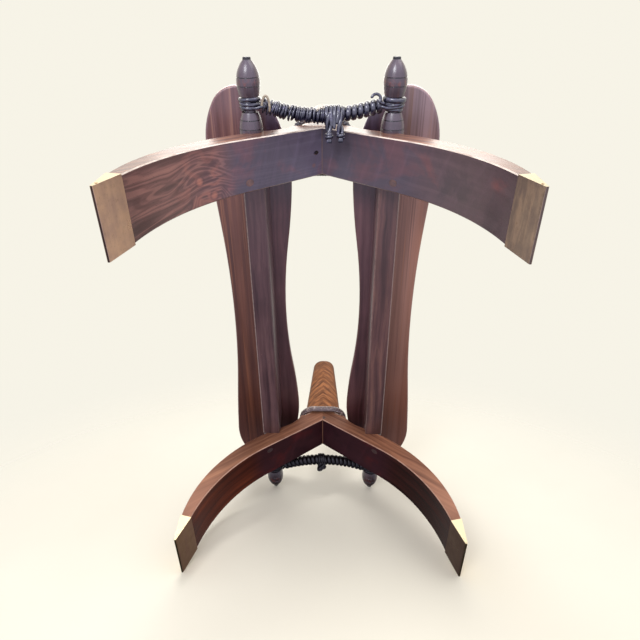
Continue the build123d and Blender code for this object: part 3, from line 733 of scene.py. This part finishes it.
class Strands:
    """Gathers swept thongs into one mesh."""

    SIDES = 12
    SQUARENESS = 0.85
    ROUNDED_ENDS = 3
    TIP_SIZE = 0.03

    def __init__(self):
        self.points = []
        self.faces = []

    def sweep(self, line, ups, half_width, half_height, sides=SIDES, closed=False):
        """A thong along a line, rounded at its ends. Its upper side looks along ups, a list or one."""
        count = len(line)
        first = len(self.points)
        for i, place in enumerate(line):
            after = line[(i + 1) % count] if closed or i + 1 < count else line[i]
            before = line[i - 1] if closed or i else line[i]
            heading = (after - before).normalized()
            across = heading.cross(ups if isinstance(ups, Vector) else ups[i]).normalized()
            up = across.cross(heading)
            size = 1
            if not closed:
                near = min(i, count - 1 - i)
                size = sqrt(1 - (1 - min(near / self.ROUNDED_ENDS, 1)) ** 2)
                size = size * (1 - self.TIP_SIZE) + self.TIP_SIZE
            for c, s in self.section(sides):
                self.points.append(place + across * (half_width * size * c) + up * (half_height * size * s))
        self.join(first, count, sides, closed)

    def section(self, sides):
        """Corners of a rounded square of half width 1."""
        for k in range(sides):
            c, s = cos(2 * pi * k / sides), sin(2 * pi * k / sides)
            yield (abs(c) ** self.SQUARENESS * (1 if c > 0 else -1),
                   abs(s) ** self.SQUARENESS * (1 if s > 0 else -1))

    def join(self, first, count, sides, closed):
        for i in range(count if closed else count - 1):
            here = first + i * sides
            there = first + (i + 1) % count * sides
            for k in range(sides):
                m = (k + 1) % sides
                self.faces.append((here + k, here + m, there + m, there + k))
        if not closed:
            last = first + (count - 1) * sides
            self.faces.append(tuple(first + k for k in reversed(range(sides))))
            self.faces.append(tuple(last + k for k in range(sides)))

    def make(self, name, surface, *replaced, **settings):
        mesh = bpy.data.meshes.new(name)
        mesh.from_pydata([tuple(p) for p in self.points], [], self.faces)
        mesh.polygons.foreach_set("use_smooth", [True] * len(mesh.polygons))
        mesh.materials.append(surface)
        mesh.update()
        return add_leather(name, mesh, *replaced, **settings)


def smooth_line(points, steps):
    """Points along a smooth curve through some given ones."""
    padded = [points[0] * 2 - points[1], *points, points[-1] * 2 - points[-2]]
    line = []
    for a, b, c, d in zip(padded, padded[1:], padded[2:], padded[3:]):
        for i in range(steps):
            t = i / steps
            line.append(0.5 * (2 * b + (c - a) * t + (2 * a - 5 * b + 4 * c - d) * t * t
                               + (3 * b - 3 * c + d - a) * t ** 3))
    line.append(points[-1])
    return line


def cord_centre(end, x_from, x_to):
    """Place and two square directions along a cross cord, for t from 0 to 1."""
    sag = SAG[end]
    radius = (CORD_REACH ** 2 + sag ** 2) / (2 * sag)

    def centre(t):
        x = x_from + (x_to - x_from) * t
        drop = sqrt(radius ** 2 - x ** 2)
        middle = Vector((x, Y_SIGN[end] * (NECK_Y - sag + radius - drop), RAIL_Z))
        return middle, Vector((-x / radius, Y_SIGN[end] * drop / radius, 0)), Vector((0, 0, 1))

    return centre


def cord_at(end, x):
    return cord_centre(end, x, x)(0)[0]


# How often a ragged winding jolts and tilts in a turn, and how much it tilts for each metre of jolt
JOLTS, TILTS, TILT_SHARE = 2.3, 1.7, 900


def wound(centre, turns, orbit, steps, start=0, ragged=0, seed=0):
    """A winding's line, with the directions that its upper side looks in."""
    line, ups = [], []
    count = round(turns * steps)
    for i in range(count + 1):
        t = i / count
        middle, across, up = centre(t)
        angle = start + 2 * pi * turns * t
        out = across * cos(angle) + up * sin(angle)
        jolt = noise.noise(Vector((t * turns * JOLTS, seed, 0)))
        line.append(middle + out * (orbit + ragged * jolt))
        tilt = ragged * TILT_SHARE * noise.noise(Vector((t * turns * TILTS, seed, 9)))
        along = across.cross(up)
        ups.append((out + along * tilt).normalized())
    return line, ups


def cord_core(end):
    """The rope itself, a free cord from one lashing to the other."""
    data = bpy.data.curves.new(end + "_cross_cord", "CURVE")
    data.dimensions = "3D"
    data.bevel_depth = CORE_RADIUS
    data.bevel_resolution = 4
    data.resolution_u = 8
    centre = cord_centre(end, -CORD_REACH, CORD_REACH)
    spline = data.splines.new("NURBS")
    shares = (0, 0.2, 0.4, 0.6, 0.8, 1)
    spline.points.add(len(shares) - 1)
    for point, share in zip(spline.points, shares):
        point.co = (*centre(share)[0], 1)
    spline.order_u = 3
    spline.use_endpoint_u = True
    data.use_fill_caps = True
    data.materials.append(THONGS[end])
    return add_leather(end + "_cross_cord", data, end + "_cord_core")


# Windings: how far the thong's middle runs from the rope's, and half its width and height
WRAP_REACH = CORD_REACH - 0.003
WRAP_ORBIT = CORE_RADIUS + CORD_GAP + 0.0021
THIN_THONG, FLAT_THONG, BROAD_THONG = (0.0015, 0.0024), (0.0014, 0.0034), (0.0033, 0.0028)
THIN_PITCH, BROAD_PITCH = 0.004, 0.0068
RAGGED_TO = {"front": 0.004, "rear": -WRAP_REACH}


def cord_wrap(end):
    """Thong wound tightly round the rope: thin and ragged as far as RAGGED_TO, then broad and even."""
    strands = Strands()
    ragged_to = RAGGED_TO[end]
    if ragged_to > -WRAP_REACH:
        stretch = cord_centre(end, -WRAP_REACH, ragged_to)
        turns = round((ragged_to + WRAP_REACH) / THIN_PITCH)
        strands.sweep(*wound(stretch, turns, WRAP_ORBIT, 26, ragged=0.0011, seed=3), *THIN_THONG)
        strands.sweep(*wound(stretch, turns - 3, WRAP_ORBIT, 26, start=1.9, ragged=0.002, seed=8),
                      *FLAT_THONG)
    turns = round((WRAP_REACH - ragged_to) / BROAD_PITCH)
    stretch = cord_centre(end, ragged_to, WRAP_REACH)
    strands.sweep(*wound(stretch, turns, WRAP_ORBIT, 34, seed=5), *BROAD_THONG)
    return strands.make(end + "_wound_thong", THONGS[end], end + "_cord_wrap")


# Knots: thongs wound over the wrapped cord, and tails that hang down in the photograph
KNOT_ORBIT = CORE_RADIUS + CORD_GAP + 0.0048
TAIL_THONG, SPLIT_THONG, BUNDLE_THONG = (0.0025, 0.0021), (0.0015, 0.0011), (0.0022, 0.0017)
TAIL_ORBIT, TIE_ORBIT, TIE_RADIUS, TIE_RISE = 0.0021, 0.003, 0.002, 0.0044
TAIL_TURNS, TIE_TURNS = 2.5 / pi, 1.75
TAIL_STEPS, TIE_STEPS = 30, 27.5
LAYER_RISE = 0.0003


def bunch(strands, end, rows, thong_size, ragged, seed):
    """Layers of thong wound over the wrapped cord, from one x to another and some turns each."""
    for layer, (begin, finish, turns) in enumerate(rows, 1):
        line, ups = wound(cord_centre(end, begin, finish), turns, KNOT_ORBIT + LAYER_RISE * layer, 28,
                          ragged=ragged, seed=seed + layer)
        strands.sweep(line, ups, *thong_size)


def tail(strands, start, length, sideways, seed):
    """A twisted pair of thongs that hangs down, with an overhand knot. Returns the knot's place."""
    down = -UP_IN_PHOTO
    behind = down.cross(RIGHT)
    bottom = start + down * length + RIGHT * sideways

    def hanging(t):
        return start + down * (length * t) + RIGHT * (sideways * t), RIGHT, behind

    def knot(t):
        return bottom + down * (TIE_RISE * (t - 0.5)), RIGHT, behind

    for phase in (0, pi):
        strands.sweep(*wound(hanging, TAIL_TURNS, TAIL_ORBIT, TAIL_STEPS, phase + seed), *TAIL_THONG)
    strands.sweep(*wound(knot, TIE_TURNS, TIE_ORBIT, TIE_STEPS, seed), TIE_RADIUS, TIE_RADIUS)
    return bottom


def split_end(strands, bottom):
    """Three short thongs that spread below a tail's knot."""
    for spread in (-1, 0, 1):
        tip = bottom - UP_IN_PHOTO * 0.0075 + RIGHT * (0.0022 * spread)
        line = smooth_line([bottom, (bottom + tip) / 2 + TO_CAMERA * 0.001, tip], 6)
        strands.sweep(line, TO_CAMERA, *SPLIT_THONG)


def front_knot():
    """Thongs bunched round the wrapped cord, and two tails that hang over the bow's edge."""
    strands = Strands()
    bunch(strands, "front", ((0.002, 0.024, 6), (0.02, 0.005, 4)), (0.0014, 0.0016), 0.0007, 11)
    for x, sideways, length, seed in ((0.0075, 0.0012, 0.026, 0.4), (0.0195, 0.0022, 0.026, 2.1)):
        start = cord_at("front", x) + TO_CAMERA * (KNOT_ORBIT + 0.001) + UP_IN_PHOTO * 0.002
        split_end(strands, tail(strands, start, length, sideways, seed))
    bundle(strands)
    return strands.make("front_knot", THONGS["front"], "front_cord_knot")


def bundle(strands):
    """Thongs that pass over the front cord side by side, and come together above the tails."""
    meet_x = 0.0135
    rows = ((0.0055, 0.01), (0.0105, 0.015), (0.0145, 0.017), (0.019, 0.012))
    for i, (x, length) in enumerate(rows):
        middle = cord_at("front", x)
        over = middle + UP_IN_PHOTO * (KNOT_ORBIT + 0.0012)
        corner = middle + (UP_IN_PHOTO + TO_CAMERA).normalized() * (KNOT_ORBIT + 0.0022)
        front = middle + TO_CAMERA * (KNOT_ORBIT + 0.0022)
        low = front - UP_IN_PHOTO * length + RIGHT * ((meet_x - x) * 0.35)
        halfway = (front + low) / 2 + TO_CAMERA * 0.0006 * (i % 2)
        line = smooth_line([over, corner, front, halfway, low], 7)
        strands.sweep(line, TO_CAMERA, *BUNDLE_THONG)


def rear_knot():
    """A smaller knot with two short tails."""
    strands = Strands()
    bunch(strands, "rear", ((-0.0075, 0.0035, 3), (0.002, -0.006, 2)), (0.0017, 0.0016), 0.0005, 17)
    for x, length, seed in ((-0.004, 0.012, 0.2), (0.0015, 0.009, 1.4)):
        tail(strands, cord_at("rear", x) + TO_CAMERA * (KNOT_ORBIT + 0.0008), length, 0, seed)
    return strands.make("rear_knot", THONGS["rear"], "rear_cord_knot")


# Neck lashings: half sizes of the thongs, and the curl's turn in degrees
LEAD_THONG, CURL_THONG = (0.0017, 0.0014), (0.0017, 0.0015)
THICK_THONG = {"left": 0.0023, "right": 0.003}
NECK_FLATNESS, NECK_ROUGHNESS, NECK_STEPS = 0.82, 0.0005, 36
CURL_RADIUS, CURL_FROM, CURL_TURN, CURL_STEPS = 0.005, -40, 215, 39


def neck_turns(strands, axis, y_sign, seed, thick):
    """Three slanting thongs round a finial's neck, the last one thicker."""
    for turns, low, high, radius, orbit, slant, start in (
            (2.6, -0.0062, 0.0022, 0.0021, 0.0093, 0.001, 0.3),
            (1.8, -0.003, 0.0036, 0.002, 0.0105, -0.0016, 2.2),
            (1.25, 0.005, 0.0052, thick, 0.0102 + thick / 3, 0.0008, 1.1)):
        line, ups = [], []
        count = round(turns * NECK_STEPS)
        for i in range(count + 1):
            t = i / count
            angle = start + seed + 2 * pi * turns * t
            out = Vector((cos(angle), 0, sin(angle)))
            rough = NECK_ROUGHNESS * noise.noise(Vector((angle * 0.9, seed, low * 900)))
            along = low + (high - low) * t + slant * cos(angle + seed) + rough
            line.append(axis + out * (orbit + rough) + Vector((0, y_sign * along, 0)))
            ups.append(out)
        strands.sweep(line, ups, radius, radius * NECK_FLATNESS)


def neck_leads(strands, axis, x_sign, y_sign):
    """Two thongs that run on from the neck along the cross cord's end."""
    inner = -RIGHT * x_sign
    for lift, over in ((0.003, 0.002), (-0.0035, -0.002)):
        line = smooth_line([
            axis + Vector((x_sign * 0.004, y_sign * over, -0.0108)),
            axis + inner * 0.0075 + Vector((0, y_sign * (over - 0.001), -0.0088 + lift * 0.3)),
            axis + inner * 0.0145 + Vector((0, -y_sign * 0.0015, -0.0056 + lift)),
            axis + inner * 0.019 + Vector((0, -y_sign * 0.0035, lift * 0.9))], 8)
        strands.sweep(line, DOWN, *LEAD_THONG)


def curl(strands, axis):
    """The stiff thong end that curls up beside the right front neck."""
    centre = axis + Vector((-0.021, -0.0068, -0.008))
    line = []
    for i in range(CURL_STEPS + 1):
        angle = radians(CURL_FROM + CURL_TURN * i / CURL_STEPS)
        line.append(centre + (RIGHT * cos(angle) + UP_IN_PHOTO * sin(angle)) * CURL_RADIUS)
    lead = [axis + Vector((-0.01, -0.002, -0.0075)), axis + Vector((-0.015, -0.0025, -0.0085))]
    line = smooth_line([*lead, line[0]], 6)[:-1] + line
    strands.sweep(line, DOWN, *CURL_THONG)


def lashings():
    for end, y_sign in Y_SIGN.items():
        for side, x_sign in X_SIGN.items():
            strands = Strands()
            axis = Vector((x_sign * RAIL_X, y_sign * NECK_Y, RAIL_Z))
            neck_turns(strands, axis, y_sign, 2 * (y_sign + 2) + x_sign, THICK_THONG[side])
            neck_leads(strands, axis, x_sign, y_sign)
            if (end, side) == ("front", "right"):
                curl(strands, axis)
            strands.make(f"{end}_{side}_neck_thongs", THONGS[end], f"{end}_{side}_neck_lashing")


# Loose threads: places in millimetres from the left front neck and from the front cord's middle
LOOP_POINTS = ((14, 3.5, -9), (15.5, -4, -9.5), (18, -9.5, -10), (20.8, -9.8, -10), (23, -4, -9.5),
               (23.4, 3, -8.5), (22.6, 7, -7))
THREAD_POINTS = ((-6, -5.6, -6.4), (-2, -8.2, -4), (3, -8.8, -3), (7, -8.9, -3), (10, -7.6, -5),
                 (12, -5, -7.4))


def loose_threads():
    """A thin pale loop by the left front neck and a pale thread over the front cord's middle."""
    strands = Strands()
    neck = Vector((-RAIL_X, -NECK_Y, RAIL_Z))
    rows = ((neck, LOOP_POINTS, 0.0013, 0.0008), (cord_at("front", 0), THREAD_POINTS, 0.0005, 0.0004))
    for start, points, half_width, half_height in rows:
        line = smooth_line([start + Vector(p) * MM for p in points], 8)
        strands.sweep(line, DOWN, half_width, half_height, sides=8)
    strands.make("loose_threads", RAWHIDE)


# Braided rings: the plait's waves up and out, and half sizes of a strand
PLAITS = 17
PLAIT_RISE, PLAIT_DEPTH = 0.0031, 0.0021
PLAIT_STRAND = (0.0021, 0.0017)
PLAIT_STEP, CORNER_STEPS = 0.0012, 12


def waist_path(end):
    """Points close together round a horn's waist, each with its outward direction."""
    grow = CORD_GAP + RING_RADIUS
    half_x, half_y = WAIST_WIDTH / 2 + grow, WAIST_DEPTH / 2 + grow
    corner = WAIST_CORNER + grow
    path = []
    for quarter, (cx, cy) in enumerate(((1, 1), (-1, 1), (-1, -1), (1, -1))):
        hub = Vector((cx * (half_x - corner), Y_SIGN[end] * BOW_Y + cy * (half_y - corner),
                      APEX_Z + RING_RISE))
        for i in range(CORNER_STEPS + 1):
            angle = pi / 2 * (quarter + i / CORNER_STEPS)
            out = Vector((cos(angle), sin(angle), 0))
            path.append((hub + out * corner, out))
    dense = []
    for (a, out_a), (b, out_b) in zip(path, path[1:] + path[:1]):
        pieces = max(1, round((b - a).length / PLAIT_STEP))
        for i in range(pieces):
            share = i / pieces
            dense.append((a.lerp(b, share), out_a.lerp(out_b, share).normalized()))
    return dense


def horn_ring(end):
    """Four strands plaited flat, laid round the horn's waist."""
    path = waist_path(end)
    strands = Strands()
    for k in range(4):
        line, ups = [], []
        for i, (place, out) in enumerate(path):
            angle = 2 * pi * (PLAITS * i / len(path) + k / 4)
            rise = Vector((0, 0, PLAIT_RISE * sin(angle)))
            line.append(place + rise + out * (PLAIT_DEPTH * sin(2 * angle + pi / 2)))
            ups.append(out)
        strands.sweep(line, ups, *PLAIT_STRAND, closed=True)
    strands.make(end + "_braided_ring", BRAIDS[end], end + "_horn_ring", slot="braid_leather")


def leather_pieces():
    for end, knot_maker in (("front", front_knot), ("rear", rear_knot)):
        core = cord_core(end)
        wrap = cord_wrap(end)
        knot = knot_maker()
        start = cord_at(end, -CORD_REACH)
        horn_ring(end)
    lashings()
    loose_threads()


paint_legs()
paint_rails_and_boards()
paint_metal()
leather_pieces()

# Stage: pale floors, soft lamps and a pale surround
FLOOR_HALF_SIDE = 3
FLOOR_DARK, FLOOR_LIGHT = (0.8, 0.76, 0.66), (0.84, 0.8, 0.7)
BELOW_TIPS, BELOW_SOLES = 0.0003, 0.0002
SEEN_SURROUND = (0.93, 0.9, 0.8)
ROOM_LEVELS = ((0.05, 0.02), (0.12, 0.04), (0.19, 0.2), (0.3, 0.42), (0.5, 0.42), (0.75, 0.64), (0.95, 0.5))
FAR_ROOM, NEAR_ROOM = (2, 1.9, 1.75), (1.9, 1.9, 2.4)
ROOM_LIGHT = ((0.05, (0.2, 0.19, 0.18)), (0.45, (0.62, 0.6, 0.58)), (0.9, (0.68, 0.67, 0.66)))

STOOL_MIDDLE = Vector((0, 0, 0.2))

# Each lamp's name, direction from the stool, distance, size, power and colour
LAMPS = (
    ("key", UP_IN_PHOTO + RIGHT * 0.5 + TO_CAMERA * 0.25, 1.6, 1.1, 6, (1, 0.98, 0.95)),
    ("spark", UP_IN_PHOTO - RIGHT * 0.12, 2, 0.5, 15, (1, 0.99, 0.97)),
    ("fill", TO_CAMERA + UP_IN_PHOTO * 0.65 - RIGHT * 0.35, 1.7, 0.55, 10, (0.94, 0.96, 1)),
    ("back", UP_IN_PHOTO * 0.6 - TO_CAMERA, 1.7, 1.4, 10, (1, 0.97, 0.93)),
)


def floor_paint(name, clear_from, clear_to):
    """Pale paint on the upper side only, which fades out with distance."""
    made, t = material(name)
    place = t.place()
    back = t.node("NewGeometry").outputs["Backfacing"]
    far = t.vector("DISTANCE", place, (0, 0, 0))
    clear = t.math("MAXIMUM", back, t.span(far, clear_from, clear_to))
    tint = t.span(t.noise(place, 3, 1, roughness=0.5), 0.3, 0.7)
    paint = t.node("BsdfDiffuse", {"Color": t.mix(tint, FLOOR_DARK, FLOOR_LIGHT)})
    glass = t.node("BsdfTransparent")
    mixed = t.node("MixShader", {0: clear, 1: paint.outputs[0], 2: glass.outputs[0]})
    t.node("OutputMaterial", {"Surface": mixed.outputs[0]})
    return made


def floor(name, centre, normal, clear_from, clear_to):
    mesh = bpy.data.meshes.new(name)
    side = FLOOR_HALF_SIDE
    mesh.from_pydata([(-side, -side, 0), (side, -side, 0), (side, side, 0), (-side, side, 0)], [],
                     [(0, 1, 2, 3)])
    mesh.materials.append(floor_paint(name + "_paint", clear_from, clear_to))
    piece = add(name, mesh)
    piece.matrix_world = Matrix.Translation(centre) @ normal.to_track_quat("Z", "Y").to_matrix().to_4x4()
    piece.visible_shadow = False
    piece.visible_glossy = False
    piece.visible_diffuse = False


def lamp(name, direction, distance, size, power, colour):
    """A square soft lamp that looks at the stool's middle."""
    data = bpy.data.lights.new(name, "AREA")
    data.size = size
    data.energy = power
    data.color = colour
    piece = add(name, data)
    piece.location = STOOL_MIDDLE + direction.normalized() * distance
    piece.rotation_mode = "QUATERNION"
    piece.rotation_quaternion = direction.to_track_quat("Z", "Y")


def surround():
    """Pale to the camera, and a bright room over a dark floor for the light and the gloss."""
    world = bpy.data.worlds.new("studio")
    scene.world = world
    world.use_nodes = True
    t = Tree(world.node_tree)
    direction = t.node("TexCoord").outputs["Generated"]
    height = t.plus(t.times(t.vector("DOT_PRODUCT", direction, tuple(UP_IN_PHOTO)), 0.5), 0.5)
    toward = t.vector("DOT_PRODUCT", direction, tuple(TO_CAMERA))
    gloss = t.ramp(height, *((place, (level, level, level)) for place, level in ROOM_LEVELS))
    gloss = t.tint(gloss, t.mix(t.span(toward, -0.3, 0.2), FAR_ROOM, NEAR_ROOM))
    gloss = t.tint(gloss, t.grey(t.span(toward, 0, 1, 1, 1.7)))
    paths = t.node("LightPath")
    shiny = t.math("MAXIMUM", paths.outputs["Is Glossy Ray"], paths.outputs["Is Transmission Ray"])
    lit = t.mix(shiny, t.ramp(height, *ROOM_LIGHT), gloss)
    seen = t.mix(paths.outputs["Is Camera Ray"], lit, SEEN_SURROUND)
    background = t.node("Background", {"Color": seen, "Strength": 1})
    t.node("OutputWorld", {"Surface": background.outputs[0]})


def stage():
    """A floor under the rail tips, as in the photograph, and one under the soles."""
    lowest = min(corner.co.dot(UP_IN_PHOTO) for piece in nodes.values() for corner in piece.data.vertices)
    centre = UP_IN_PHOTO * (lowest - BELOW_TIPS) - TO_CAMERA * 0.1
    floor("end_floor", centre, UP_IN_PHOTO, 0.25, 0.9)
    floor("sole_floor", Vector((0, 0, -BELOW_SOLES)), Vector((0, 0, 1)), 0.45, 1.4)
    for row in LAMPS:
        lamp(*row)
    surround()
    scene.view_settings.view_transform = "Standard"


stage()
